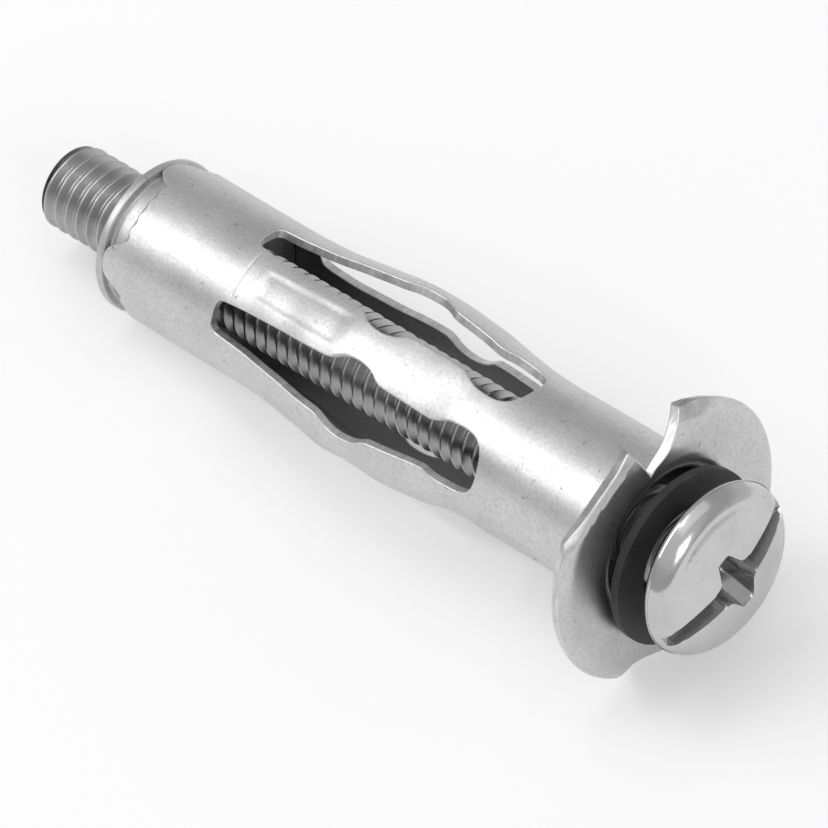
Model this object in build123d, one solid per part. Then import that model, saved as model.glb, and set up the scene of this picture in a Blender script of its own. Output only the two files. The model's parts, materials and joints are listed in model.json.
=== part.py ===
from build123d import *
import math
import os

# A metal hollow-wall anchor, lying on its side as it comes to rest.
#
# Everything is first built about its own axis: x runs along the axis towards the screw's head,
# x = 0 is the front face of the flange and z is the direction that ends up on top. Angles round
# the axis are measured from z towards y. lay_down() then tips the anchor onto the two sides of
# its lower flange notch and the rim of its nut. All sizes are in millimetres.

# ---- Sleeve: one sheet-steel tube with its flange, legs and notches ----
SHEET = 0.5
TUBE_DIAMETER = 8.85
SLEEVE_LENGTH = 37.15
BULGE = 0.8
BEND_INSIDE = 0.3

LEG_COUNT = 5
FIRST_SLOT_ANGLE = 12.6
NUT_END_LENGTH = 8.15
FRONT_END_LENGTH = 9.7
SLOT_NARROW = 1.86
SLOT_WIDE = 3.3
SLOT_CORNER = 0.45
SLOT_SHOULDER = 0.3
MID_NOTCH_SHARE = 0.4637
MID_NOTCH_LENGTH = 3.5
MID_NOTCH_WIDTH = 4.5
FRONT_NOTCH_LENGTH = 3.4
FRONT_NOTCH_RAMP = 0.8
FRONT_NOTCH_WIDTH = 3.45
WAIST_WIDTH = 2.7
FRONT_CORNER = 1.1

END_TAB_COUNT = 4
END_TAB_ARC = 28.0
END_TAB_HEIGHT = 0.75
FIRST_TAB_ANGLE = 22.6

FLANGE_DIAMETER = 16.2
RIM_ROLL_WIDTH = 1.05
RIM_FOLD_ANGLE = 26.0
PRONG_EDGE_INSET = 0.88
PRONG_BEND_WIDTH = 0.57
PRONG_FOLD_ANGLE = 30.0
PRONG_ANGLE = -25.4
PRONG_START_ANGLE = -52.4
LIP_EDGE_INSET = 0.25
LIP_BEND_WIDTH = 0.9
LIP_ANGLE = 19.0
LIP_END_ANGLE = 33.0
NOTCH_ROOT_MARGIN = 0.375
NOTCH_ROOT_ANGLE = -4.0
NOTCH_NEAR_ANGLE = -9.4
NOTCH_FAR_ANGLE = 20.9
LOWER_NOTCH_FAR_ANGLE = 9.6
LOWER_LIP_ANGLE = 0.0

# ---- Nut: a threaded bush behind a thin disc ----
NUT_DISC_SETBACK = 0.025
NUT_DISC_THICKNESS = 0.5
NUT_BUSH_LENGTH = 6.2
NUT_COLLAR_SETBACK = 1.2
NUT_COLLAR_LENGTH = 0.5
NUT_BEVEL = 0.15
NUT_SEAT_GAP = 0.02
NUT_BUSH_CLEARANCE = 0.02

# ---- Screw: full thread, low pan head, combined slot and cross recess ----
THREAD_ROOT_DIAMETER = 4.02
THREAD_DEPTH = 0.44
THREAD_CLEARANCE = 0.05
SCREW_LENGTH = 46.6
TIP_CHAMFER = 0.3
HEAD_DIAMETER = 9.8
HEAD_HEIGHT = 2.4
HEAD_EDGE = 0.75
HEAD_EDGE_ROUND = 0.35
HEAD_FLANK_SHARE = 0.72
HEAD_TOP_DIAMETER = 7.6
HEAD_TOP_ROUND = 0.3
HEAD_CROWN = 0.22
HEAD_CLEARANCE = 1.54
DRIVE_ANGLE = 73.0
DRIVE_SLOT_WIDTH = 1.25
DRIVE_SLOT_DEPTH = 1.1
CROSS_WIDTH = 1.3
CROSS_SPAN = 4.6
CROSS_DEPTH = 1.9
CROSS_TIP_WIDTH = 0.78
CROSS_TIP_SPAN = 2.2

# ---- Spacer washer: hangs loose on the shank, ahead of the flange ----
WASHER_DIAMETER = 9.95
WASHER_HOLE = 6.0
WASHER_THICKNESS = 0.58
WASHER_BEVEL = 0.06
WASHER_GAP = 0.48

# ---- Sizes that follow from the ones above ----
TUBE_OUTER = TUBE_DIAMETER / 2
TUBE_INNER = TUBE_OUTER - SHEET
BEND_OUTSIDE = BEND_INSIDE + SHEET
SLOT_START = SLEEVE_LENGTH - NUT_END_LENGTH
SLOT_END = FRONT_END_LENGTH
MID_NOTCH_MIDDLE = SLOT_END + MID_NOTCH_SHARE * (SLOT_START - SLOT_END)
MID_NOTCH_START = MID_NOTCH_MIDDLE + MID_NOTCH_LENGTH / 2
MID_NOTCH_END = MID_NOTCH_MIDDLE - MID_NOTCH_LENGTH / 2
FRONT_NOTCH_START = SLOT_END + FRONT_NOTCH_LENGTH
FLANGE_RADIUS = FLANGE_DIAMETER / 2
FLANGE_FLAT_START = TUBE_OUTER + BEND_INSIDE
RIM_FOLD_RADIUS = FLANGE_RADIUS - RIM_ROLL_WIDTH
PRONG_EDGE_DISTANCE = FLANGE_RADIUS - PRONG_EDGE_INSET
PRONG_FOLD_DISTANCE = PRONG_EDGE_DISTANCE - PRONG_BEND_WIDTH
LIP_EDGE_DISTANCE = FLANGE_RADIUS - LIP_EDGE_INSET
LIP_FOLD_DISTANCE = LIP_EDGE_DISTANCE - LIP_BEND_WIDTH
NOTCH_ROOT_RADIUS = FLANGE_FLAT_START + NOTCH_ROOT_MARGIN
PRONG_CORNER = PRONG_EDGE_DISTANCE / math.cos(math.radians(NOTCH_NEAR_ANGLE - PRONG_ANGLE))
SUPPORT_DEPTH = PRONG_CORNER * math.cos(math.radians(NOTCH_NEAR_ANGLE))
NUT_DISC_RADIUS = TUBE_OUTER - NUT_DISC_SETBACK
NUT_COLLAR_RADIUS = NUT_DISC_RADIUS - NUT_COLLAR_SETBACK
NUT_DISC_FRONT = -SLEEVE_LENGTH - NUT_SEAT_GAP
NUT_DISC_BACK = NUT_DISC_FRONT - NUT_DISC_THICKNESS
THREAD_ROOT = THREAD_ROOT_DIAMETER / 2
THREAD_CREST = THREAD_ROOT + THREAD_DEPTH
NUT_BORE = THREAD_ROOT + THREAD_CLEARANCE
WASHER_DROP = WASHER_HOLE / 2 - THREAD_CREST
HEAD_GAP = WASHER_GAP + WASHER_THICKNESS + HEAD_CLEARANCE
HEAD_RADIUS = HEAD_DIAMETER / 2
FAR = 3 * FLANGE_DIAMETER
NEARLY_ZERO = 1e-6


def around(radius, angle, x=0.0):
    """A point at a radius and an angle round the anchor's axis."""
    turn = math.radians(angle)
    return Vector(x, radius * math.sin(turn), radius * math.cos(turn))


def spin(shape, angle):
    """The shape turned round the anchor's axis, positive from z towards y."""
    return shape.rotate(Axis.X, -angle)


def turned(section):
    """The body made by turning a section in the x-y plane about the axis."""
    return revolve(section, axis=Axis.X, revolution_arc=360)


def sector(start_angle, end_angle, inner, outer, low_x, high_x):
    """A piece of a ring between two angles, two radii and two stations."""
    section = Plane.XZ * Rectangle(high_x - low_x, outer - inner, align=(Align.MIN, Align.MIN))
    section = Pos(low_x, 0, inner) * section
    piece = revolve(section, axis=Axis.X, revolution_arc=end_angle - start_angle)
    return spin(piece, end_angle)


def leg_profile(thickness_in):
    """The legs' barrel line, at a depth below the outer surface."""
    radius = TUBE_OUTER - thickness_in
    span = SLOT_START - SLOT_END
    shape = [(0.0, 0.0), (0.10, 0.02), (0.24, 0.36), (0.36, 0.78), (0.47, 1.0),
             (0.62, 0.95), (0.76, 0.62), (0.88, 0.16), (1.0, 0.0)]
    points = [(-SLOT_START + share * span, radius + rise * BULGE) for share, rise in shape]
    return Spline(*points, tangents=[(1, 0), (1, 0)])


def roll(fold, angle, inside_radius):
    """The two arcs and end edge of a sheet rolled back past a fold line."""
    turn = math.radians(angle)
    centre_x = -SHEET - inside_radius
    back = (centre_x + inside_radius * math.cos(turn), fold + inside_radius * math.sin(turn))
    front_radius = inside_radius + SHEET
    front = (centre_x + front_radius * math.cos(turn), fold + front_radius * math.sin(turn))
    half = turn / 2
    back_mid = (centre_x + inside_radius * math.cos(half), fold + inside_radius * math.sin(half))
    front_mid = (centre_x + front_radius * math.cos(half), fold + front_radius * math.sin(half))
    return [
        ThreePointArc((-SHEET, fold), back_mid, back),
        Line(back, front),
        ThreePointArc(front, front_mid, (0, fold)),
    ]


def rolled_inside_radius(fold, edge, angle):
    """The inside radius that carries a rolled edge from its fold out to a distance."""
    return (edge - fold) / math.sin(math.radians(angle)) - SHEET


def bent_strip(fold, edge, fold_angle, normal_angle):
    """The flange sheet beside a notch: flat to a straight fold, then bent back."""
    arcs = roll(fold, fold_angle, rolled_inside_radius(fold, edge, fold_angle))
    base = [
        Line((0, fold), (0, 0)),
        Line((0, 0), (-SHEET, 0)),
        Line((-SHEET, 0), (-SHEET, fold)),
    ]
    section = make_face(base + arcs)
    strip = extrude(section, amount=FAR, both=True)
    return spin(strip.rotate(Axis.X, 90), normal_angle)


def flange_notch(far_angle):
    """The V cut from the rim down to the root, beside the prong."""
    root = around(NOTCH_ROOT_RADIUS, NOTCH_ROOT_ANGLE)
    near = around(PRONG_CORNER, NOTCH_NEAR_ANGLE)
    far = around(FLANGE_RADIUS, far_angle)
    near_out = root + (near - root) * 3
    far_out = root + (far - root) * 3
    outline = Polyline(root, near_out, far_out, close=True)
    return extrude(make_face(outline), amount=FAR / 2, dir=(1, 0, 0), both=True)


def leg_slot():
    """The cutter for one slot, with its mid and front notches, along the top."""
    ramp_end = -FRONT_NOTCH_START + FRONT_NOTCH_RAMP
    half = [
        Line((-SLOT_START, 0), (-SLOT_START, SLOT_NARROW / 2)),
        Line((-SLOT_START, SLOT_NARROW / 2), (-MID_NOTCH_START, SLOT_WIDE / 2)),
        ThreePointArc(
            (-MID_NOTCH_START, SLOT_WIDE / 2),
            (-(MID_NOTCH_START + MID_NOTCH_END) / 2, MID_NOTCH_WIDTH / 2),
            (-MID_NOTCH_END, SLOT_WIDE / 2),
        ),
        Line((-MID_NOTCH_END, SLOT_WIDE / 2), (-FRONT_NOTCH_START, WAIST_WIDTH / 2)),
        Line((-FRONT_NOTCH_START, WAIST_WIDTH / 2), (ramp_end, FRONT_NOTCH_WIDTH / 2)),
        Line((ramp_end, FRONT_NOTCH_WIDTH / 2), (-SLOT_END, FRONT_NOTCH_WIDTH / 2)),
        Line((-SLOT_END, FRONT_NOTCH_WIDTH / 2), (-SLOT_END, 0)),
        Line((-SLOT_END, 0), (-SLOT_START, 0)),
    ]
    side = make_face(half)
    outline = side + mirror(side, about=Plane.XZ)
    corners = [v for v in outline.vertices() if abs(v.Y) > NEARLY_ZERO]
    back = [v for v in corners if abs(v.X + SLOT_START) < NEARLY_ZERO]
    front = [v for v in corners if abs(v.X + SLOT_END) < NEARLY_ZERO]
    shoulders = [v for v in corners if v not in back and v not in front]
    outline = fillet(back, SLOT_CORNER)
    outline = fillet([near_vertex(outline, v) for v in front], FRONT_CORNER)
    outline = fillet([near_vertex(outline, v) for v in shoulders], SLOT_SHOULDER)
    return Pos(0, 0, TUBE_INNER / 2) * extrude(outline, amount=TUBE_DIAMETER)


def near_vertex(shape, vertex):
    """The vertex of a shape that lies where another vertex was."""
    return min(shape.vertices(), key=lambda v: (v.center() - vertex.center()).length)


def make_sleeve():
    """The sleeve: tube, legs, rolled flange with two notches, and end tabs."""
    halfway = math.sin(math.radians(45))
    bend_x = -BEND_OUTSIDE
    inner_mid = (bend_x + BEND_OUTSIDE * halfway, FLANGE_FLAT_START - BEND_OUTSIDE * halfway)
    outer_mid = (bend_x + BEND_INSIDE * halfway, FLANGE_FLAT_START - BEND_INSIDE * halfway)
    rim_inside = rolled_inside_radius(RIM_FOLD_RADIUS, FLANGE_RADIUS, RIM_FOLD_ANGLE)
    outer_legs = leg_profile(0)
    inner_legs = leg_profile(SHEET)
    section = make_face([
        Line((-SLEEVE_LENGTH, TUBE_INNER), (-SLEEVE_LENGTH, TUBE_OUTER)),
        Line((-SLEEVE_LENGTH, TUBE_OUTER), (-SLOT_START, TUBE_OUTER)),
        outer_legs,
        Line((-SLOT_END, TUBE_OUTER), (bend_x, TUBE_OUTER)),
        ThreePointArc((bend_x, TUBE_OUTER), outer_mid, (-SHEET, FLANGE_FLAT_START)),
        Line((-SHEET, FLANGE_FLAT_START), (-SHEET, RIM_FOLD_RADIUS)),
        *roll(RIM_FOLD_RADIUS, RIM_FOLD_ANGLE, rim_inside),
        Line((0, RIM_FOLD_RADIUS), (0, FLANGE_FLAT_START)),
        ThreePointArc((0, FLANGE_FLAT_START), inner_mid, (bend_x, TUBE_INNER)),
        Line((bend_x, TUBE_INNER), (-SLOT_END, TUBE_INNER)),
        inner_legs,
        Line((-SLOT_START, TUBE_INNER), (-SLEEVE_LENGTH, TUBE_INNER)),
    ])
    sleeve = turned(section)

    slot = leg_slot()
    for index in range(LEG_COUNT):
        sleeve -= spin(slot, FIRST_SLOT_ANGLE + index * 360 / LEG_COUNT)

    tab_pitch = 360 / END_TAB_COUNT
    for index in range(END_TAB_COUNT):
        gap_start = FIRST_TAB_ANGLE + index * tab_pitch + END_TAB_ARC / 2
        gap_end = gap_start + tab_pitch - END_TAB_ARC
        low_x = -SLEEVE_LENGTH - 1
        high_x = -SLEEVE_LENGTH + END_TAB_HEIGHT
        sleeve -= sector(gap_start, gap_end, TUBE_INNER - 1, TUBE_OUTER + 1, low_x, high_x)

    rim = Cylinder(FLANGE_RADIUS, FAR, rotation=(0, 90, 0))
    prong = bent_strip(PRONG_FOLD_DISTANCE, PRONG_EDGE_DISTANCE, PRONG_FOLD_ANGLE, PRONG_ANGLE)
    lip = bent_strip(LIP_FOLD_DISTANCE, LIP_EDGE_DISTANCE, RIM_FOLD_ANGLE, LIP_ANGLE)
    lower_fold = SUPPORT_DEPTH - LIP_BEND_WIDTH
    lower_lip = bent_strip(lower_fold, SUPPORT_DEPTH, RIM_FOLD_ANGLE, LOWER_LIP_ANGLE)
    for half_turn, far_lip, far_angle in (
        (0, lip, NOTCH_FAR_ANGLE),
        (180, lower_lip, LOWER_NOTCH_FAR_ANGLE),
    ):
        for strip, start, end in (
            (prong, PRONG_START_ANGLE, NOTCH_ROOT_ANGLE),
            (far_lip, NOTCH_ROOT_ANGLE, LIP_END_ANGLE),
        ):
            zone = spin(sector(start, end, FLANGE_FLAT_START, FAR, -5, 1), half_turn)
            sleeve -= zone
            sleeve += spin(strip, half_turn) & zone & rim
        sleeve -= spin(flange_notch(far_angle), half_turn)
    return sleeve


def make_nut():
    """The nut: a disc as wide as the tube, a bush inside it and a low collar behind."""
    bush_radius = TUBE_INNER - NUT_BUSH_CLEARANCE
    collar_back = NUT_DISC_BACK - NUT_COLLAR_LENGTH
    bush_front = NUT_DISC_FRONT + NUT_BUSH_LENGTH
    section = make_face(Polyline(
        (collar_back, NUT_BORE + NUT_BEVEL),
        (collar_back, NUT_COLLAR_RADIUS - NUT_BEVEL),
        (collar_back + NUT_BEVEL, NUT_COLLAR_RADIUS),
        (NUT_DISC_BACK, NUT_COLLAR_RADIUS),
        (NUT_DISC_BACK, NUT_DISC_RADIUS - NUT_BEVEL),
        (NUT_DISC_BACK + NUT_BEVEL, NUT_DISC_RADIUS),
        (NUT_DISC_FRONT, NUT_DISC_RADIUS),
        (NUT_DISC_FRONT, bush_radius),
        (bush_front - NUT_BEVEL, bush_radius),
        (bush_front, bush_radius - NUT_BEVEL),
        (bush_front, NUT_BORE + NUT_BEVEL),
        (bush_front - NUT_BEVEL, NUT_BORE),
        (collar_back + NUT_BEVEL, NUT_BORE),
        close=True,
    ))
    return turned(section)


def drive_recess():
    """The cutter for the slot right across the head and the cross at its middle."""
    top = HEAD_GAP + HEAD_HEIGHT
    slot = Pos(top, 0, 0) * Box(2 * DRIVE_SLOT_DEPTH, DRIVE_SLOT_WIDTH, 2 * HEAD_DIAMETER)
    arms = None
    for quarter in (0, 90):
        mouth = Plane.YZ.offset(top) * Rectangle(CROSS_WIDTH, CROSS_SPAN)
        floor = Plane.YZ.offset(top - CROSS_DEPTH) * Rectangle(CROSS_TIP_WIDTH, CROSS_TIP_SPAN)
        arm = loft([floor, mouth]).rotate(Axis.X, quarter)
        arms = arm if arms is None else arms + arm
    return spin(slot + arms, DRIVE_ANGLE)


def make_screw():
    """The screw: shank at the thread's root, low pan head and its recess."""
    tip_x = HEAD_GAP - SCREW_LENGTH
    edge_x = HEAD_GAP + HEAD_EDGE
    top_x = HEAD_GAP + HEAD_HEIGHT
    rim_low = (HEAD_GAP, HEAD_RADIUS - HEAD_EDGE_ROUND)
    rim_high = (HEAD_GAP + HEAD_HEIGHT * HEAD_FLANK_SHARE, HEAD_TOP_DIAMETER / 2 + HEAD_TOP_ROUND)
    section = make_face([
        Line((tip_x, 0), (tip_x, THREAD_ROOT - TIP_CHAMFER)),
        Line((tip_x, THREAD_ROOT - TIP_CHAMFER), (tip_x + TIP_CHAMFER, THREAD_ROOT)),
        Line((tip_x + TIP_CHAMFER, THREAD_ROOT), (HEAD_GAP, THREAD_ROOT)),
        Line((HEAD_GAP, THREAD_ROOT), rim_low),
        ThreePointArc(rim_low, (edge_x, HEAD_RADIUS), rim_high),
        ThreePointArc(rim_high, (top_x - HEAD_CROWN, HEAD_TOP_DIAMETER / 4), (top_x, 0)),
        Line((top_x, 0), (tip_x, 0)),
    ])
    return turned(section) - drive_recess()


def make_spacer_washer():
    """The flat spacer washer, dropped until its hole rests on the thread."""
    centre = Pos(WASHER_GAP, 0, -WASHER_DROP) * Rot(0, 90, 0)
    foot = (Align.CENTER, Align.CENTER, Align.MIN)
    ring = Cylinder(WASHER_DIAMETER / 2, WASHER_THICKNESS, align=foot)
    hole = Cylinder(WASHER_HOLE / 2, 3 * WASHER_THICKNESS)
    ring = chamfer(ring.edges().filter_by(GeomType.CIRCLE), WASHER_BEVEL)
    return centre * (ring - hole)


def lay_down(pieces):
    """Tips the anchor onto its lower notch and nut rim, above the origin."""
    prong_drop = PRONG_BEND_WIDTH * math.tan(math.radians(PRONG_FOLD_ANGLE / 2))
    rise = SUPPORT_DEPTH - NUT_DISC_RADIUS
    run = -NUT_DISC_FRONT - prong_drop - SHEET
    tilt = math.degrees(math.atan2(rise, run))
    tipped = {name: piece.rotate(Axis.Y, -tilt) for name, piece in pieces.items()}
    box = Compound(list(tipped.values())).bounding_box()
    shift = Pos(-box.center().X, -box.center().Y, -box.min.Z)
    return {name: shift * piece for name, piece in tipped.items()}, tilt, shift


pieces, tilt, shift = lay_down({
    "sleeve": make_sleeve(),
    "nut": make_nut(),
    "screw": make_screw(),
    "spacer_washer": make_spacer_washer(),
})

os.makedirs("parts", exist_ok=True)
for name, piece in pieces.items():
    export_step(piece, f"parts/{name}.step")
print(f"tilt {tilt:.4f} degrees, flange centre at {tuple(shift.position)} mm")
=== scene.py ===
import json
import math

import bmesh
import bpy
import numpy as np
from mathutils import Matrix, Vector
from mathutils.geometry import delaunay_2d_cdt


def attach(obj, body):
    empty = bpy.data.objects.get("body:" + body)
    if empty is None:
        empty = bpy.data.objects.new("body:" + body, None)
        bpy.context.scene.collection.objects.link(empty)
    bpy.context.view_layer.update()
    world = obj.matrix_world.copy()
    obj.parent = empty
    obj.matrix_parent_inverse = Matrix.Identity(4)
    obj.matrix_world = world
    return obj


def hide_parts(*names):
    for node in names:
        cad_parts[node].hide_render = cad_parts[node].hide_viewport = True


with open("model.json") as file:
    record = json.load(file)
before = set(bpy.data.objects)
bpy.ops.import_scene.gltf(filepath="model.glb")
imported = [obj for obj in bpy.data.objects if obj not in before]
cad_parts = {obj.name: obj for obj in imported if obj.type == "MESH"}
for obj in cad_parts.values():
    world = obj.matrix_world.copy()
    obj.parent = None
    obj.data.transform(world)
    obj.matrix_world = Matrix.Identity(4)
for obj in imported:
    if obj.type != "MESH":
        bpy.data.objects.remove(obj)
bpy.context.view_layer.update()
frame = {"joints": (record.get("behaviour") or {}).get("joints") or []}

MM = 0.001

# The anchor's own frame, in millimetres: x along the axis towards the head, 0 at the flange's
# front face, and z up across the axis. Angles round the axis run from z towards y.
TURN = next(joint for joint in frame["joints"] if joint["name"] == "screw_turn")
AXIS = Vector(TURN["axis"]).normalized()
SIDE = Vector((0, 1, 0))
UP = AXIS.cross(SIDE)
ORIGIN = np.array(TURN["pos_m"])
TO_ROW = np.array([AXIS, SIDE, UP])

# ---- Sleeve ----
SHEET = 0.5
TUBE_RADIUS = 4.425
MID_RADIUS = TUBE_RADIUS - SHEET / 2
SLEEVE_LENGTH = 37.15
BULGE = 0.8
BEND_INSIDE = 0.3
BEND_MID = BEND_INSIDE + SHEET / 2
FLANGE_RADIUS = 7.98
FLANGE_FLAT_START = TUBE_RADIUS + BEND_INSIDE
RIM_FOLD_RADIUS = 7.05
RIM_FOLD_ANGLE = math.radians(26)

LEG_COUNT = 5
LEG_PITCH = 2 * math.pi / LEG_COUNT
FIRST_SLOT_ANGLE = math.radians(12.6)
SLOT_START = 29.0
SLOT_END = 9.7
END_TAB_COUNT = 4
END_PITCH = 2 * math.pi / END_TAB_COUNT
END_TAB_ARC = math.radians(28)
END_TAB_HEIGHT = 0.75
FIRST_TAB_ANGLE = math.radians(22.6)

EDGE_ROUND = 0.09

# The third slot carries painted shade for the inside of the tube.
FACE_METAL_SLOT, CUT_METAL_SLOT, BORE_SHADE_SLOT = 0, 1, 2

# ---- Screw ----
PITCH = 0.8
ROOT_RADIUS = 2.01
CREST_RADIUS = 2.42
SCREW_LENGTH = 46.55
TIP_CHAMFER = 0.14
HEAD_GAP = 2.6
HEAD_RADIUS = 4.88
HEAD_TOP = 4.93
DRIVE_ANGLE = math.radians(73)

# ---- Nut and washer ----
NUT_DISC_RADIUS = 4.385
NUT_SEAT_GAP = 0.02
NUT_DISC_FRONT = -SLEEVE_LENGTH - NUT_SEAT_GAP
NUT_DISC_THICKNESS = 0.5
NUT_LIP_RADIUS = 3.2
NUT_LIP_LENGTH = 0.5
NUT_BUSH_LENGTH = 6.2
NUT_BUSH_CLEARANCE = 0.02
NUT_ROUND = 0.12
THREAD_CLEARANCE = 0.05
WASHER_RADIUS = 4.975
WASHER_HOLE_RADIUS = 3.0
WASHER_THICKNESS = 0.58
WASHER_GAP = 0.48
# The washer's back is drawn this much off the CAD's, so that it clears the flange's waviness at
# the inner end of the screw's travel.
WASHER_BACK_RELIEF = 0.08
WASHER_BACK = WASHER_GAP + WASHER_BACK_RELIEF
WASHER_FRONT = WASHER_GAP + WASHER_THICKNESS
WASHER_ROUND = 0.06
WASHER_DROP = 0.55
TURNED_SHARP_ANGLE = math.radians(50)


def to_row(points):
    """Points in the anchor's frame, in millimetres, as metres in the row frame."""
    return np.asarray(points, float) * MM @ TO_ROW + ORIGIN


def direction_to_row(vectors):
    return np.asarray(vectors, float) @ TO_ROW


def smooth(value, low, high):
    """0 below low, 1 above high, with a smooth step between."""
    t = np.clip((value - low) / (high - low), 0, 1)
    return t * t * (3 - 2 * t)


def add_piece(name, points, faces, materials, body, node=None, face_slots=None, normals=None,
              sharp_angle=None):
    """A mesh piece, given in the anchor's frame, that rides on a body."""
    mesh = bpy.data.meshes.new(name)
    mesh.from_pydata(to_row(points).tolist(), [], faces)
    for material in materials:
        mesh.materials.append(material)
    mesh.polygons.foreach_set("use_smooth", [True] * len(mesh.polygons))
    if face_slots is not None:
        mesh.polygons.foreach_set("material_index", face_slots)
    mesh.update()
    if sharp_angle is not None:
        mesh.set_sharp_from_angle(angle=sharp_angle)
    if normals is not None:
        unit = direction_to_row(normals)
        unit /= np.linalg.norm(unit, axis=1)[:, None]
        mesh.normals_split_custom_set_from_vertices(unit.tolist())
    piece = bpy.data.objects.new(name, mesh)
    bpy.context.scene.collection.objects.link(piece)
    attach(piece, body)
    if node:
        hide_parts(node)
    return piece


# ---------------------------------------------------------------- materials


def node_of(tree, kind, **values):
    node = tree.nodes.new(kind)
    for key, value in values.items():
        if key in node.inputs:
            node.inputs[key].default_value = value
        else:
            setattr(node, key, value)
    return node


def aligned_coordinates(tree, scale):
    """Object coordinates turned to the anchor's axis and scaled along each of its axes."""
    where = node_of(tree, "ShaderNodeTexCoord")
    mapping = node_of(tree, "ShaderNodeMapping")
    mapping.inputs["Rotation"].default_value = (0, math.asin(AXIS.z), 0)
    mapping.inputs["Scale"].default_value = scale
    tree.links.new(where.outputs["Object"], mapping.inputs["Vector"])
    return mapping.outputs["Vector"]


def noise(tree, vector, scale, detail=4.0, roughness=0.55, distortion=0.0):
    texture = node_of(tree, "ShaderNodeTexNoise", Scale=scale, Detail=detail, Roughness=roughness,
                      Distortion=distortion)
    tree.links.new(vector, texture.inputs["Vector"])
    return texture.outputs["Fac"]


def ramp(tree, source, stops):
    """A colour ramp through (position, grey) stops."""
    node = node_of(tree, "ShaderNodeValToRGB")
    elements = node.color_ramp.elements
    while len(elements) > 1:
        elements.remove(elements[-1])
    for index, (position, grey) in enumerate(stops):
        element = elements[0] if index == 0 else elements.new(position)
        element.position = position
        element.color = (grey, grey, grey, 1)
    tree.links.new(source, node.inputs["Fac"])
    return node.outputs["Color"]


def mix_colour(tree, kind, factor, first, second):
    node = node_of(tree, "ShaderNodeMix", data_type="RGBA", blend_type=kind)
    node.inputs[0].default_value = factor
    tree.links.new(first, node.inputs[6])
    tree.links.new(second, node.inputs[7])
    return node.outputs[2]


def bump(tree, height, strength, distance, normal=None):
    node = node_of(tree, "ShaderNodeBump", Strength=strength, Distance=distance)
    tree.links.new(height, node.inputs["Height"])
    if normal is not None:
        tree.links.new(normal, node.inputs["Normal"])
    return node.outputs["Normal"]


def new_material(name, metallic):
    """A material with its node tree and its shader."""
    material = bpy.data.materials.new(name)
    material.use_nodes = True
    shader = material.node_tree.nodes["Principled BSDF"]
    shader.inputs["Metallic"].default_value = metallic
    return material, material.node_tree, shader


def metal(name, grey, rough, grain=0.5, speck=0.5, scratch=0.3, seed=0.0):
    """Zinc-plated steel: soft cloudy grey, fine grain, dark specks and faint drawn lines."""
    material, tree, shader = new_material(name, 1.0)
    base = aligned_coordinates(tree, (1, 1, 1))
    drawn = aligned_coordinates(tree, (0.08, 1, 1))
    cloud = noise(tree, base, 260.0 + seed, detail=5.0)
    fine = noise(tree, base, 5200.0 + seed, detail=3.0, roughness=0.7)
    pits = noise(tree, base, 2100.0 + seed, detail=2.0, roughness=0.6, distortion=0.6)
    lines = noise(tree, drawn, 3800.0 + seed, detail=3.0, roughness=0.6)
    tone = ramp(tree, cloud, [(0.32, grey * 0.90), (0.5, grey), (0.68, min(1.0, grey * 1.06))])
    grain_tone = ramp(tree, fine, [(0.3, 1 - 0.16 * grain), (0.6, 1.0)])
    speck_tone = ramp(tree, pits, [(0.22, 1 - 0.75 * speck), (0.33, 1.0)])
    colour = mix_colour(tree, "MULTIPLY", 1.0, tone, grain_tone)
    colour = mix_colour(tree, "MULTIPLY", 1.0, colour, speck_tone)
    tree.links.new(colour, shader.inputs["Base Color"])
    rough_cloud = ramp(tree, cloud, [(0.3, rough * 0.86), (0.7, min(1.0, rough * 1.16))])
    rough_speck = ramp(tree, fine, [(0.25, 1.0), (0.75, 0.82)])
    roughness = mix_colour(tree, "MULTIPLY", 1.0, rough_cloud, rough_speck)
    tree.links.new(roughness, shader.inputs["Roughness"])
    normal = bump(tree, fine, 0.22 * grain, 0.00004)
    normal = bump(tree, cloud, 0.10, 0.00025, normal)
    normal = bump(tree, lines, 0.10 * scratch, 0.00005, normal)
    tree.links.new(normal, shader.inputs["Normal"])
    return material


def cut_edge_metal(name, grey):
    """The sheared edge of the sheet: bright, with fine striations across the thickness."""
    material, tree, shader = new_material(name, 1.0)
    base = aligned_coordinates(tree, (1, 1, 1))
    across = aligned_coordinates(tree, (1, 0.15, 0.15))
    stripes = noise(tree, across, 5200.0, detail=2.0, roughness=0.5)
    worn = noise(tree, base, 900.0, detail=4.0)
    tone = ramp(tree, worn, [(0.3, grey * 0.86), (0.6, min(1.0, grey * 1.05))])
    stripe_tone = ramp(tree, stripes, [(0.35, 0.84), (0.6, 1.0)])
    colour = mix_colour(tree, "MULTIPLY", 1.0, tone, stripe_tone)
    tree.links.new(colour, shader.inputs["Base Color"])
    tree.links.new(ramp(tree, worn, [(0.3, 0.34), (0.7, 0.5)]), shader.inputs["Roughness"])
    normal = bump(tree, stripes, 0.45, 0.00005)
    tree.links.new(bump(tree, worn, 0.25, 0.0001, normal), shader.inputs["Normal"])
    return material


def dark_plastic(name):
    """Near-black satin plastic with faint mould texture and pale scuffs."""
    material, tree, shader = new_material(name, 0.0)
    base = aligned_coordinates(tree, (1, 1, 1))
    cloud = noise(tree, base, 420.0, detail=5.0)
    fine = noise(tree, base, 5600.0, detail=3.0, roughness=0.7)
    tone = ramp(tree, cloud, [(0.3, 0.022), (0.62, 0.042), (0.8, 0.075)])
    scuff = ramp(tree, fine, [(0.62, 1.0), (0.74, 1.9)])
    tree.links.new(mix_colour(tree, "MULTIPLY", 1.0, tone, scuff), shader.inputs["Base Color"])
    tree.links.new(ramp(tree, cloud, [(0.3, 0.42), (0.7, 0.6)]), shader.inputs["Roughness"])
    tree.links.new(bump(tree, fine, 0.3, 0.00005), shader.inputs["Normal"])
    return material


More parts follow.
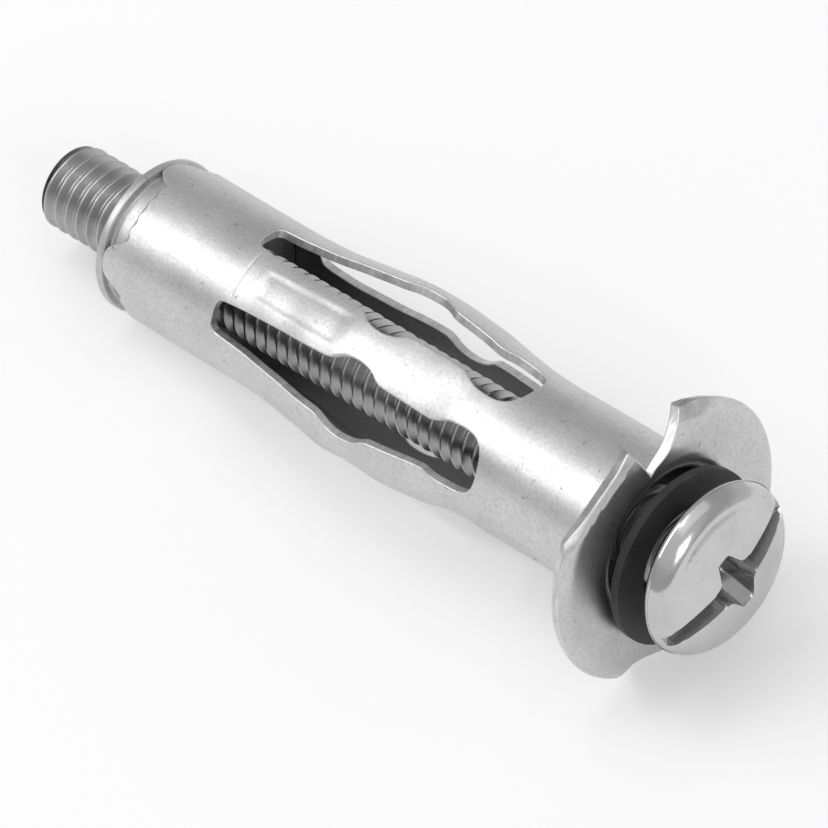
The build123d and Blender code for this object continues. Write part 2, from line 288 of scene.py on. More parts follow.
SHEET_METAL = metal("zinc_sheet_metal", 0.74, 0.40, grain=1.1, speck=0.7, scratch=0.5)
# Painted shade: the inside of the tube gets a much darker grey than the sheet, standing in for the
# shade within it.
BORE_SHADE_METAL = metal("painted_shade_bore_metal", 0.30, 0.55, grain=0.9, speck=0.5, scratch=0.5, seed=11.0)
EDGE_METAL = cut_edge_metal("sheared_edge_metal", 0.84)
NUT_METAL = metal("zinc_nut_metal", 0.66, 0.42, grain=0.9, speck=0.5, scratch=0.2, seed=31.0)
# Painted shade: the thread is a darker grey than the head and nut, standing in for the shade in its
# valleys and inside the sleeve.
THREAD_SHADE_METAL = metal("painted_shade_thread_metal", 0.54, 0.34, grain=0.5, speck=0.3, scratch=0.1, seed=57.0)
HEAD_METAL = metal("bright_head_metal", 0.68, 0.15, grain=0.2, speck=0.4, scratch=0.1, seed=83.0)
# Painted shade: the drive recess gets a darker grey than the head, standing in for the shade and
# dark reflections inside it.
RECESS_SHADE_METAL = metal("painted_shade_recess_metal", 0.46, 0.18, grain=0.3, speck=0.5, scratch=0.6,
                     seed=97.0)
WASHER_PLASTIC = dark_plastic("dark_spacer_plastic")


# ---------------------------------------------------------------- turned pieces


def lathe(profile, segments=160, centre=(0, 0)):
    """Points and quads of a closed (x, radius) profile turned about the axis."""
    profile = np.array(profile, float)
    turn = np.linspace(0, 2 * math.pi, segments, endpoint=False)
    x = np.tile(profile[:, 0], segments)
    radius = np.tile(profile[:, 1], segments)
    angle = np.repeat(turn, len(profile))
    points = np.c_[x, centre[0] + radius * np.sin(angle), centre[1] + radius * np.cos(angle)]
    count = len(profile)
    faces = []
    for s in range(segments):
        here = s * count
        there = ((s + 1) % segments) * count
        for k in range(count):
            n = (k + 1) % count
            faces.append((here + k, here + n, there + n, there + k))
    return points, faces


def rounded(corners, radius, steps=4):
    """A closed (x, radius) outline with each corner rounded."""
    corners = np.array(corners, float)
    result = []
    for k, corner in enumerate(corners):
        before = corners[k - 1] - corner
        after = corners[(k + 1) % len(corners)] - corner
        reach = min(radius, np.linalg.norm(before) * 0.45, np.linalg.norm(after) * 0.45)
        start = corner + before / np.linalg.norm(before) * reach
        end = corner + after / np.linalg.norm(after) * reach
        for t in np.linspace(0, 1, steps + 1):
            result.append((1 - t) ** 2 * start + 2 * t * (1 - t) * corner + t * t * end)
    return result


def make_nut():
    """The threaded bush, the disc that closes the tube's end and the lip round its bore."""
    bush = TUBE_RADIUS - SHEET - NUT_BUSH_CLEARANCE
    bush_end = NUT_DISC_FRONT + NUT_BUSH_LENGTH
    back = NUT_DISC_FRONT - NUT_DISC_THICKNESS
    lip = back - NUT_LIP_LENGTH
    bore = ROOT_RADIUS + THREAD_CLEARANCE
    corners = [
        (lip, bore), (lip, NUT_LIP_RADIUS), (back, NUT_LIP_RADIUS), (back, NUT_DISC_RADIUS),
        (NUT_DISC_FRONT, NUT_DISC_RADIUS), (NUT_DISC_FRONT, bush),
        (bush_end, bush), (bush_end, bore),
    ]
    points, faces = lathe(rounded(corners, NUT_ROUND))
    add_piece("swaged_nut", points, faces, [NUT_METAL], "anchor", node="nut",
              sharp_angle=TURNED_SHARP_ANGLE)


def make_washer():
    """The dark ring, hung off centre on the thread's crest."""
    corners = [
        (WASHER_BACK, WASHER_HOLE_RADIUS), (WASHER_BACK, WASHER_RADIUS),
        (WASHER_FRONT, WASHER_RADIUS), (WASHER_FRONT, WASHER_HOLE_RADIUS),
    ]
    points, faces = lathe(rounded(corners, WASHER_ROUND), centre=(0, -WASHER_DROP))
    add_piece("spacer_ring", points, faces, [WASHER_PLASTIC], "washer",
              node="spacer_washer", sharp_angle=TURNED_SHARP_ANGLE)


# ---------------------------------------------------------------- screw


# One pitch of the rolled thread: the share of the pitch, then the share of the thread's depth.
THREAD_PROFILE = [
    (0.00, 0.0), (0.07, 0.02), (0.14, 0.16), (0.36, 0.62), (0.55, 0.97), (0.60, 1.0),
    (0.66, 1.0), (0.71, 0.95), (0.86, 0.22), (0.95, 0.02),
]
THREAD_SEGMENTS = 72
THREAD_INTO_HEAD = 0.3
THREAD_WOBBLE = 0.004
SCREW_SHARP_ANGLE = math.radians(32)


def make_thread():
    """The screw's whole shank: a helical strip of rolled thread, closed at a chamfered tip."""
    segments = THREAD_SEGMENTS
    tip = HEAD_GAP - SCREW_LENGTH
    turns = int(math.ceil((SCREW_LENGTH + 2 * PITCH) / PITCH))
    depth = CREST_RADIUS - ROOT_RADIUS
    share = np.array([p[0] for p in THREAD_PROFILE])
    lift = np.array([p[1] for p in THREAD_PROFILE])
    rows = turns * segments + 1
    step = np.arange(rows)
    angle = 2 * math.pi * step / segments
    start = tip - PITCH + PITCH * step / segments
    x = start[:, None] + share[None, :] * PITCH
    radius = ROOT_RADIUS + depth * np.tile(lift, (rows, 1))
    limit = CREST_RADIUS - TIP_CHAMFER + (x - tip)
    radius = np.clip(radius, None, np.maximum(limit, 0.02))
    x = np.clip(x, tip, HEAD_GAP + THREAD_INTO_HEAD)
    around = np.repeat(angle[:, None], len(THREAD_PROFILE), 1)
    points = np.stack([x, radius * np.sin(around), radius * np.cos(around)], -1)
    near_crest = radius > ROOT_RADIUS + depth * 0.8
    wobble = 1 + THREAD_WOBBLE * np.sin(7 * around + 3 * x) * near_crest
    points[..., 1:] *= wobble[..., None]
    count = len(THREAD_PROFILE)
    index = np.arange(rows * count).reshape(rows, count)
    faces = []
    for row in range(rows - 1):
        for k in range(count - 1):
            faces.append((index[row, k], index[row + 1, k],
                          index[row + 1, k + 1], index[row, k + 1]))
        upper = row + segments
        if upper + 1 < rows:
            faces.append((index[row, -1], index[row + 1, -1],
                          index[upper + 1, 0], index[upper, 0]))
    points = points.reshape(-1, 3)
    station = points[:, 0]
    past_tip = tip + 1e-6
    past_head = HEAD_GAP + THREAD_INTO_HEAD - 0.01
    kept = [tuple(int(i) for i in f) for f in faces
            if not all(station[i] <= past_tip for i in f)
            and not all(station[i] >= past_head for i in f)]
    end_radius = CREST_RADIUS - TIP_CHAMFER
    ring = np.linspace(0, 2 * math.pi, segments, endpoint=False)
    base = len(points)
    disc = [(tip, end_radius * math.sin(a), end_radius * math.cos(a)) for a in ring]
    points = np.vstack([points, disc, [(tip, 0, 0)]])
    for k in range(segments):
        kept.append((base + segments, base + (k + 1) % segments, base + k))
    return points, kept


CROWN_DROP = 0.72
CROWN_RADIUS = 4.0
RIM_START = 4.05
RIM_DEPTH = 0.80
RIM_CREASE = 0.05
RIM_CREASE_WIDTH = 0.16
HEAD_EDGE_HEIGHT = 0.35
HEAD_SEGMENTS = 144
# The rings of the crown's mesh, close together where it turns over into the rim.
CROWN_RINGS = (3.98, 4.08, 4.18, 4.28, 4.38, 4.47, 4.55, 4.62, 4.68, 4.73, 4.765)
# The rim's lower half: its height over the underside, then its share of the head's radius.
RIM_UNDERSIDE = [(0.55, 1.0), (0.30, 0.985), (0.12, 0.955), (0.03, 0.915), (0.0, 0.86)]

WALL_SLOPE = 4.2
SLOT_FLOOR_HALF = 0.40
SLOT_DEPTH = 1.25
ARM_FLOOR_HALF = 0.42
ARM_START = 0.75
ARM_REACH = 2.2
CORE_DEPTH = 2.3
CORE_LIFT = 3.5


def dome(radius):
    """The head's upper surface: its station at a distance from the axis."""
    crown = CROWN_DROP * (radius / CROWN_RADIUS) ** 2
    groove = RIM_CREASE * np.exp(-((radius - RIM_START) / RIM_CREASE_WIDTH) ** 2)
    across = np.clip((radius - RIM_START) / (HEAD_RADIUS - RIM_START), 0, 1)
    rim = RIM_DEPTH * (1 - np.sqrt(np.clip(1 - across ** 2, 0, 1)))
    return HEAD_TOP - crown - groove - rim


def slot_wall(off):
    """The slot's height at a distance to one side of its middle."""
    return HEAD_TOP - SLOT_DEPTH + WALL_SLOPE * np.clip(np.abs(off) - SLOT_FLOOR_HALF, 0, None)


def arm_wall(off, out):
    """A cross arm's height, to one side of its middle and out along it."""
    rise = CORE_DEPTH * np.clip((np.abs(out) - ARM_START) / (ARM_REACH - ARM_START), 0, 1) ** 0.8
    floor = np.where(np.abs(out) > ARM_REACH, HEAD_TOP + 3, HEAD_TOP - CORE_DEPTH + rise)
    return floor + WALL_SLOPE * np.clip(np.abs(off) - ARM_FLOOR_HALF, 0, None)


def recess(u, v):
    """The floor of the drive recess, u across the slot and v along it."""
    core = HEAD_TOP - CORE_DEPTH + CORE_LIFT * smooth(np.hypot(u, v), 0.9, 1.25)
    return np.minimum.reduce([slot_wall(u), arm_wall(u, v), arm_wall(v, u), core])


def crease(wall, out):
    """Where a wall meets the crown: the distance to one side, at a distance out."""
    low, high = 0.3, 1.0
    for _ in range(30):
        middle = (low + high) / 2
        if wall(middle) < dome(min(math.hypot(middle, out), HEAD_RADIUS)):
            low = middle
        else:
            high = middle
    return (low + high) / 2


def crease_lines():
    """The recess's upper edges, as runs of (u, v) points."""
    slot_run = [(crease(slot_wall, out), out) for out in np.arange(0.62, 4.72, 0.1)]
    arm_run = [(out, crease(lambda off: arm_wall(off, out), out))
               for out in np.arange(0.78, 2.1, 0.08)]
    runs = []
    for run in (slot_run, arm_run):
        for flip_u in (1, -1):
            for flip_v in (1, -1):
                runs.append([(u * flip_u, v * flip_v) for u, v in run])
    return runs


def cluster(edges, fine, coarse, limit):
    """Grid lines from -limit to limit, close together round each edge value."""
    lines = set(np.round(np.arange(0, limit, coarse), 4).tolist())
    for edge in edges:
        lines.update(np.round(edge + np.array(fine), 4).tolist())
    lines = sorted(l for l in lines if 0 <= l < limit)
    return np.array([-l for l in reversed(lines) if l > 0] + lines)


def make_head():
    """The low pan head as one skin: underside, rounded rim, crown and recess."""
    fine = np.arange(-0.22, 0.23, 0.04)
    lines = cluster((0.58,), fine, 0.13, 4.4)
    grid_u, grid_v = np.meshgrid(lines, lines)
    inner = np.c_[grid_u.ravel(), grid_v.ravel()]
    inner = inner[np.hypot(inner[:, 0], inner[:, 1]) < 3.9]
    segments = HEAD_SEGMENTS
    turn = np.linspace(0, 2 * math.pi, segments, endpoint=False)
    rings = [np.c_[radius * np.cos(turn), radius * np.sin(turn)] for radius in CROWN_RINGS]
    outline = np.c_[HEAD_RADIUS * np.cos(turn), HEAD_RADIUS * np.sin(turn)]
    flat = np.vstack([outline] + rings + [inner])
    extra = []
    for edge in np.arange(0.36, 0.81, 0.04):
        for along in np.arange(3.9, 4.7, 0.1):
            if math.hypot(edge, along) < HEAD_RADIUS - 0.03:
                extra += [(edge, along), (-edge, along), (edge, -along), (-edge, -along)]
    flat = np.vstack([flat, extra])
    border = [(k, (k + 1) % segments) for k in range(segments)]
    creases = [np.array(run) for run in crease_lines()]
    for run in creases:
        apart = flat[segments:, None, :] - run[None, :, :]
        close = np.min(np.hypot(apart[..., 0], apart[..., 1]), axis=1)
        flat = np.vstack([flat[:segments], flat[segments:][close > 0.035]])
    for run in creases:
        first = len(flat)
        flat = np.vstack([flat, run])
        border += [(first + k, first + k + 1) for k in range(len(run) - 1)]
    verts, _, faces, _, _, _ = delaunay_2d_cdt([Vector(p) for p in flat], border, [], 1, 1e-6)
    uv = np.array([(v.x, v.y) for v in verts])
    radius = np.hypot(uv[:, 0], uv[:, 1])
    height = np.minimum(dome(np.minimum(radius, HEAD_RADIUS)), recess(uv[:, 0], uv[:, 1]))
    height = np.maximum(height, HEAD_GAP + HEAD_EDGE_HEIGHT)
    cos, sin = math.cos(DRIVE_ANGLE), math.sin(DRIVE_ANGLE)
    across, along = uv[:, 0], uv[:, 1]
    points = np.c_[height, along * sin + across * cos, along * cos - across * sin]
    faces = [tuple(f) for f in faces]
    middles = np.array([uv[list(f)].mean(0) for f in faces])
    crown = dome(np.minimum(np.hypot(middles[:, 0], middles[:, 1]), HEAD_RADIUS))
    in_recess = list(recess(middles[:, 0], middles[:, 1]) < crown)

    # The rim's lower half and the underside, turned, joined to the crown's outline.
    outer = radius > HEAD_RADIUS - 1e-4
    edge_points = points[outer]
    angles = np.arctan2(edge_points[:, 1], edge_points[:, 2])
    order = np.argsort(angles)
    loop = np.where(outer)[0][order]
    angles = angles[order]
    previous = loop
    base = len(points)
    for rise, share in RIM_UNDERSIDE + [(0.0, CREST_RADIUS / HEAD_RADIUS * 0.8)]:
        r = HEAD_RADIUS * share
        level = HEAD_GAP + rise
        ring = np.c_[np.full(len(loop), level), r * np.sin(angles), r * np.cos(angles)]
        points = np.vstack([points, ring])
        current = np.arange(base, base + len(loop))
        for k in range(len(loop)):
            n = (k + 1) % len(loop)
            faces.append((int(previous[k]), int(previous[n]), int(current[n]), int(current[k])))
        previous = current
        base += len(loop)
    in_recess += [False] * (len(faces) - len(in_recess))
    return points, faces, in_recess


def make_screw():
    """The screw as one welded skin, its thread, head and recess each with their own metal; the
    thread's and the recess's metals are darker greys of painted shade.
    """
    thread_points, thread_faces = make_thread()
    head_points, head_faces, in_recess = make_head()
    shift = len(thread_points)
    points = np.vstack([thread_points, head_points])
    faces = thread_faces + [tuple(i + shift for i in f) for f in head_faces]
    # The recess faces take the darker metal of painted shade.
    slots = [0] * len(thread_faces) + [2 if sunk else 1 for sunk in in_recess]
    metals = [THREAD_SHADE_METAL, HEAD_METAL, RECESS_SHADE_METAL]
    piece = add_piece("machine_screw", points, faces, metals, "screw",
                      node="screw", face_slots=slots)
    mesh = piece.data
    work = bmesh.new()
    work.from_mesh(mesh)
    bmesh.ops.remove_doubles(work, verts=work.verts, dist=2e-7)
    bmesh.ops.dissolve_degenerate(work, edges=work.edges, dist=1e-8)
    bmesh.ops.recalc_face_normals(work, faces=work.faces)
    work.to_mesh(mesh)
    work.free()
    mesh.set_sharp_from_angle(angle=SCREW_SHARP_ANGLE)


# ---------------------------------------------------------------- sleeve


LEG_SHAPE = [(0.0, 0.0), (0.10, 0.02), (0.24, 0.36), (0.36, 0.78), (0.47, 1.0),
             (0.62, 0.95), (0.76, 0.62), (0.88, 0.16), (1.0, 0.0)]


def bulge(x):
    """How far the legs stand out from the tube at a station."""
    share = (x + SLOT_START) / (SLOT_START - SLOT_END)
    knots = np.array(LEG_SHAPE)
    fine = np.linspace(0, 1, 97)
    base = np.interp(fine, knots[:, 0], knots[:, 1])
    kernel = np.hanning(15)
    padded = np.r_[np.zeros(7), base, np.zeros(7)]
    curve = np.convolve(padded, kernel / kernel.sum(), "valid")
    return BULGE * np.interp(share, fine, curve, left=0.0, right=0.0)


TUBE_RUN = SLEEVE_LENGTH - BEND_INSIDE - SHEET
BEND_RUN = BEND_MID * math.pi / 2
FLAT_RUN = RIM_FOLD_RADIUS - FLANGE_FLAT_START
ROLL_MID = (FLANGE_RADIUS - RIM_FOLD_RADIUS) / math.sin(RIM_FOLD_ANGLE) - SHEET / 2
FLAT_END = TUBE_RUN + BEND_RUN + FLAT_RUN
FULL_RUN = FLAT_END + ROLL_MID * RIM_FOLD_ANGLE


def meridian(run):
    """Mid-sheet (x, radius) and outward normal at a run from the tube's far end to the rim."""
    run = np.asarray(run, float)
    x = run - SLEEVE_LENGTH
    radius = MID_RADIUS + bulge(x)
    nx, nr = np.zeros_like(run), np.ones_like(run)
    bend = np.clip((run - TUBE_RUN) / BEND_MID, 0, math.pi / 2)
    in_bend = run > TUBE_RUN
    x = np.where(in_bend, -BEND_INSIDE - SHEET + BEND_MID * np.sin(bend), x)
    radius = np.where(in_bend, FLANGE_FLAT_START - BEND_MID * np.cos(bend), radius)
    nx = np.where(in_bend, -np.sin(bend), nx)
    nr = np.where(in_bend, np.cos(bend), nr)
    past = np.clip(run - TUBE_RUN - BEND_RUN, 0, FLAT_RUN)
    radius = radius + past
    roll = np.clip((run - FLAT_END) / ROLL_MID, 0, None)
    x = x - ROLL_MID * (1 - np.cos(roll))
    radius = radius + ROLL_MID * np.sin(roll)
    rolled = roll > 0
    nx = np.where(rolled, -np.cos(roll), nx)
    nr = np.where(rolled, -np.sin(roll), nr)
    return x, radius, nx, nr


def run_at_radius(radius):
    """The run along the meridian at a radius on the flange."""
    radius = np.asarray(radius, float)
    flat = TUBE_RUN + BEND_RUN + radius - FLANGE_FLAT_START
    roll = np.arcsin(np.clip((radius - RIM_FOLD_RADIUS) / ROLL_MID, 0, 0.99))
    low = np.arccos(np.clip((FLANGE_FLAT_START - radius) / BEND_MID, 0, 1))
    result = np.where(radius > RIM_FOLD_RADIUS, FLAT_END + roll * ROLL_MID, flat)
    return np.where(radius < FLANGE_FLAT_START, TUBE_RUN + low * BEND_MID, result)


def leg_frame(angle):
    """Angle from the nearest leg's centre line."""
    centre = FIRST_SLOT_ANGLE + LEG_PITCH / 2
    return (angle - centre + LEG_PITCH / 2) % LEG_PITCH - LEG_PITCH / 2


END_CRUSH = 0.38
PRONG_ANGLE = math.radians(-25.4)
PRONG_FOLD = 6.65
PRONG_EDGE = 7.08
LIP_ANGLE = math.radians(19)
LIP_FOLD = 6.95
NOTCH_ROOT = (5.1, math.radians(-4.0))
NOTCH_NEAR_ANGLE = math.radians(-9.4)
NOTCH_FAR_ANGLE = math.radians(20.9)
LOWER_NOTCH_FAR_ANGLE = math.radians(9.6)
LOWER_EDGE = 7.26
LIP_EDGE = 7.74
EDGE_LEAN = 0.30
NEAR_CORNER_RADIUS = 7.45
FAR_CORNER_RADIUS = 7.9
OUTLINE_STEP = 0.16
PANEL_PRESS = 0.055
SCRIBED_STATION = -28.2
SCRIBED_PRESS = 0.02


def sheet_point(angle, run, height):
    """A point of the sheet: its angle, its run along the meridian, its height off mid-sheet."""
    off_tab = np.abs((angle - FIRST_TAB_ANGLE + END_PITCH / 2) % END_PITCH - END_PITCH / 2)
    crushed = smooth(off_tab, END_TAB_ARC / 2, END_TAB_ARC / 2 + 0.14) * (1 - smooth(run, 0.8, 2.0))
    run = run + END_CRUSH * crushed * (0.5 + height / SHEET) * (1 + 0.2 * np.sin(31 * angle))
    x, radius, nx, nr = meridian(run)
    off_leg = leg_frame(angle)
    station = run - SLEEVE_LENGTH
    # A shallow pressed panel along the first half of each leg, and a scribed line before it.
    panel = smooth(station, -27.3, -26.6) * (1 - smooth(station, -21.4, -20.0))
    width = np.abs(off_leg) * TUBE_RADIUS
    panel = panel * (1 - smooth(width, 0.55, 0.95))
    scribed = np.exp(-((station - SCRIBED_STATION) / 0.07) ** 2) * (1 - smooth(width, 1.3, 1.5))
    press = -PANEL_PRESS * panel - SCRIBED_PRESS * scribed
    # The sheet is never quite round or smooth.
    uneven = 0.018 * np.sin(3 * angle + 0.35 * station) * smooth(station, -36, -33)
    uneven = uneven * (1 - smooth(station, -3.0, -1.2))
    on_legs = smooth(station, -29, -27) * (1 - smooth(station, -12, -9))
    uneven = uneven + 0.012 * np.sin(2.1 * station + 2 * angle) * on_legs
    off = height + press + uneven
    x = x + nx * off
    radius = radius + nr * off
    y = radius * np.sin(angle)
    z = radius * np.cos(angle)
    flange = smooth(run, TUBE_RUN + BEND_RUN - 0.05, TUBE_RUN + BEND_RUN + 0.35)
    x = x + flange * flange_fold(y, z, angle)
    # The shears left the cut faces leaning, so that the front face is a little smaller.
    lean = EDGE_LEAN * (0.5 - height / SHEET)
    y, z = lean_back(y, z, lean * flange)
    return np.stack([x, y, z], -1)


def on_face(radius, angle):
    """A point across the axis, as (y, z)."""
    return np.array([radius * math.sin(angle), radius * math.cos(angle)])


def lean_back(y, z, lean):
    """The flange's front face drawn back from the upper notch's far side and from the rim."""
    root = on_face(*NOTCH_ROOT)
    corner = on_face(LIP_EDGE / math.cos(NOTCH_FAR_ANGLE - LIP_ANGLE), NOTCH_FAR_ANGLE)
    along = (corner - root) / np.linalg.norm(corner - root)
    away = np.array([along[1], -along[0]])
    across = (y - root[0]) * away[0] + (z - root[1]) * away[1]
    onward = (y - root[0]) * along[0] + (z - root[1]) * along[1]
    near = (across > -0.2) * (1 - smooth(across, 0.1, 1.3)) * smooth(onward, 0.2, 1.4)
    y = y + away[0] * lean * near
    z = z + away[1] * lean * near
    radius = np.hypot(y, z) + 1e-9
    rim = 1 - 0.45 * lean * smooth(radius, FLANGE_RADIUS - 1.3, FLANGE_RADIUS - 0.1) / radius
    return y * rim, z * rim


def flange_fold(y, z, angle):
    """How far the flange is bent back beside each notch, and its slight waviness."""
    drop = 0.035 * np.sin(3 * angle + 0.6)
    near_corner = on_face(NEAR_CORNER_RADIUS, NOTCH_NEAR_ANGLE)
    far_corner = on_face(FAR_CORNER_RADIUS, NOTCH_FAR_ANGLE)
    for half_turn in (0, math.pi):
        local = (angle - half_turn + math.pi) % (2 * math.pi) - math.pi
        sign = 1 if half_turn == 0 else -1
        reach = sign * (y * math.sin(PRONG_ANGLE) + z * math.cos(PRONG_ANGLE))
        side = smooth(local, math.radians(-60), math.radians(-48)) * (local < math.radians(3))
        past = np.clip(reach - PRONG_FOLD, 0, None)
        drop = drop - side * (0.42 * past + 0.22 * past ** 2)
        corner = np.hypot(y * sign - near_corner[0], z * sign - near_corner[1])
        drop = drop - 0.16 * (1 - smooth(corner, 0.0, 1.5)) * side
        reach = sign * (y * math.sin(LIP_ANGLE) + z * math.cos(LIP_ANGLE))
        side = (local > math.radians(-3)) * (1 - smooth(local, math.radians(26), math.radians(40)))
        past = np.clip(reach - LIP_FOLD, 0, None)
        corner = np.hypot(y * sign - far_corner[0], z * sign - far_corner[1])
        drop = drop - side * (0.25 * past + 0.45 * (1 - smooth(corner, 0.0, 2.4)))
    return drop


# Half of a slot's outline as (station, half width), from the nut end to the front.
SLOT_OUTLINE = [
    (-29.0, 0.0), (-29.0, 0.45), (-28.93, 0.72), (-28.72, 0.88), (-28.4, 0.95),
    (-26.0, 1.16), (-23.2, 1.40), (-21.0, 1.58), (-20.55, 1.63), (-20.2, 1.78),
    (-19.75, 2.05), (-19.2, 2.2), (-18.6, 2.24), (-18.0, 2.17), (-17.5, 2.0),
    (-17.1, 1.76), (-16.75, 1.64), (-15.0, 1.50), (-13.4, 1.37), (-13.05, 1.42),
    (-12.7, 1.58), (-12.3, 1.70), (-11.8, 1.74), (-11.1, 1.73), (-10.5, 1.60),
    (-10.05, 1.28), (-9.8, 0.85), (-9.71, 0.4), (-9.7, 0.0),
]


def densify(points, spacing):
    """A smooth open curve through the points, resampled at about one spacing."""
    points = np.array(points, float)
    out = []
    count = len(points)
    for k in range(count - 1):
        p0 = points[max(k - 1, 0)]
        p1, p2 = points[k], points[k + 1]
        p3 = points[min(k + 2, count - 1)]
        length = np.linalg.norm(p2 - p1)
        d1 = (p2 - p0) * 0.5 * min(1, length / max(np.linalg.norm(p2 - p0) / 2, 1e-9))
        d2 = (p3 - p1) * 0.5 * min(1, length / max(np.linalg.norm(p3 - p1) / 2, 1e-9))
        steps = max(1, int(round(length / spacing)))
        for t in np.arange(steps) / steps:
            out.append((2 * t ** 3 - 3 * t ** 2 + 1) * p1 + (t ** 3 - 2 * t ** 2 + t) * d1
                       + (-2 * t ** 3 + 3 * t ** 2) * p2 + (t ** 3 - t ** 2) * d2)
    out.append(points[-1])
    return np.array(out)


def slot_loop(centre_angle):
    """A slot's closed outline as (angle, run)."""
    half = densify(SLOT_OUTLINE, OUTLINE_STEP)
    radius = TUBE_RADIUS + bulge(half[:, 0])
    spread = np.arcsin(half[:, 1] / radius)
    run = half[:, 0] + SLEEVE_LENGTH
    right = np.c_[centre_angle + spread, run]
    left = np.c_[centre_angle - spread, run][::-1]
    return np.vstack([right[:-1], left[:-1]])


def end_outline(start, stop):
    """The tube's far end between two angles: four tabs with rounded shoulders."""
    angle = np.arange(start, stop, OUTLINE_STEP / TUBE_RADIUS)
    off = np.abs((angle - FIRST_TAB_ANGLE + END_PITCH / 2) % END_PITCH - END_PITCH / 2)
    rise = smooth(off, END_TAB_ARC / 2 - 0.10, END_TAB_ARC / 2 + 0.10) * END_TAB_HEIGHT
    rise = rise + 0.10 * smooth(off, END_TAB_ARC / 2 - 0.2, END_TAB_ARC / 2 - 0.05)
    rise = rise + 0.02 * np.sin(23 * angle)
    return np.c_[angle, np.maximum(rise, 0.0)]


def rim_outline(start, stop):
    """The flange's rim between two angles, with chords and V notches."""
    result = []
    step = OUTLINE_STEP / FLANGE_RADIUS
    chord_start = PRONG_ANGLE - math.acos(PRONG_EDGE / FLANGE_RADIUS)
    for angle in np.arange(start, stop, step):
        upper, local = notch_side(angle)
        far_angle, lip_angle, lip_edge = far_side(upper)
        if NOTCH_NEAR_ANGLE < local < far_angle:
            continue
        radius = FLANGE_RADIUS
        if chord_start < local <= NOTCH_NEAR_ANGLE:
            radius = min(radius, PRONG_EDGE / math.cos(local - PRONG_ANGLE))
        if far_angle <= local < math.radians(40):
            radius = min(radius, lip_edge / math.cos(local - lip_angle))
        result.append((angle, radius))
    near = (NOTCH_NEAR_ANGLE, PRONG_EDGE / math.cos(NOTCH_NEAR_ANGLE - PRONG_ANGLE))
    for turn in range(-2, 4):
        offset = turn * math.pi
        far_angle, lip_angle, lip_edge = far_side(turn % 2 == 0)
        if not start < offset + NOTCH_NEAR_ANGLE < stop or not start < offset + far_angle < stop:
            continue
        far = (far_angle, lip_edge / math.cos(far_angle - lip_angle))
        for angle, radius in notch_points(near, far):
            result.append((offset + angle, radius))
    result.sort(key=lambda p: p[0])
    ordered = np.array(result)
    return np.c_[ordered[:, 0], run_at_radius(ordered[:, 1])]


def notch_side(angle):
    """Whether an angle is nearer the upper notch, and its angle from that notch."""
    turns = round(angle / math.pi)
    return turns % 2 == 0, angle - turns * math.pi


def far_side(upper):
    """The upper or lower notch's far side: its angle, its chord's angle and distance."""
    if upper:
        return NOTCH_FAR_ANGLE, LIP_ANGLE, LIP_EDGE
    return LOWER_NOTCH_FAR_ANGLE, 0.0, LOWER_EDGE


def notch_points(near, far):
    """The V notch's two straight sides as (angle, radius), meeting at its root."""
    root = on_face(*NOTCH_ROOT)
    a = on_face(near[1], near[0])
    b = on_face(far[1], far[0])
    points = [a + (root - a) * t for t in np.linspace(0, 1, 17)]
    points += [root + (b - root) * t for t in np.linspace(0, 1, 25)[1:]]
    return [(math.atan2(p[0], p[1]), math.hypot(p[0], p[1])) for p in points]


def inset_loop(loop, amount, closed=True):
    """A loop moved into the sheet by an amount, in millimetres, keeping its points."""
    angle, run = loop[:, 0], loop[:, 1]
    _, scale, _, _ = meridian(run)
    flat = np.c_[angle * scale, run]
    before = np.roll(flat, 1, 0)
    after = np.roll(flat, -1, 0)
    before[:, 0] = np.roll(angle, 1) * scale
    after[:, 0] = np.roll(angle, -1) * scale
    if not closed:
        before[0] = flat[0] - (flat[1] - flat[0])
        after[-1] = flat[-1] + (flat[-1] - flat[-2])
    d1 = flat - before
    d2 = after - flat
    d1 /= np.linalg.norm(d1, axis=1)[:, None] + 1e-12
    d2 /= np.linalg.norm(d2, axis=1)[:, None] + 1e-12
    normal = np.c_[-(d1[:, 1] + d2[:, 1]), d1[:, 0] + d2[:, 0]]
    length = np.linalg.norm(normal, axis=1)
    normal /= length[:, None] + 1e-12
    miter = 1 / np.clip(length / 2, 0.6, 1)
    moved = flat + normal * (amount * miter)[:, None]
    return np.c_[moved[:, 0] / scale, moved[:, 1]]


def inside(points, loop):
    """Which points lie inside a closed loop."""
    x, y = points[:, 0], points[:, 1]
    result = np.zeros(len(points), bool)
    x1, y1 = loop[:, 0], loop[:, 1]
    x2, y2 = np.roll(x1, -1), np.roll(y1, -1)
    for a, b, c, d in zip(x1, y1, x2, y2):
        if b == d:
            continue
        crosses = (b > y) != (d > y)
        at = a + (y - b) * (c - a) / (d - b)
        result ^= crosses & (x < at)
    return result


def clearance(points, loop):
    """Distance from each point to a loop's nearest point, in millimetres."""
    _, radius, _, _ = meridian(points[:, 1])
    best = np.full(len(points), 1e9)
    for angle, run in loop:
        gap = np.hypot((points[:, 0] - angle) * radius, points[:, 1] - run)
        best = np.minimum(best, gap)
    return best


# Where the sleeve's mesh is finer: across each pressed panel, and along its scribed line.
PANEL_ACROSS = (-1.0, -0.92, -0.84, -0.77, -0.70, -0.62, -0.5,
                0.5, 0.62, 0.70, 0.77, 0.84, 0.92, 1.0)
SCRIBED_STATIONS = (-28.34, -28.27, -28.2, -28.13, -28.06, -27.3, -27.1, -26.9, -26.7)
SLEEVE_COLUMNS = 84


def edge_rows():
    """The rows of a rounded cut edge: share of the way out, height and lean of the normal."""
    half = SHEET / 2
    rows = []
    for degrees in (30, 60):
        lean = math.radians(degrees)
        rows.append((math.sin(lean), half - EDGE_ROUND * (1 - math.cos(lean)), lean))
    square = math.radians(90)
    rows += [(1.0, half - EDGE_ROUND, square), (1.0, 0.05, square), (1.0, -half + 0.05, square)]
    return rows + [(0.8, -half + 0.01, math.radians(135))]


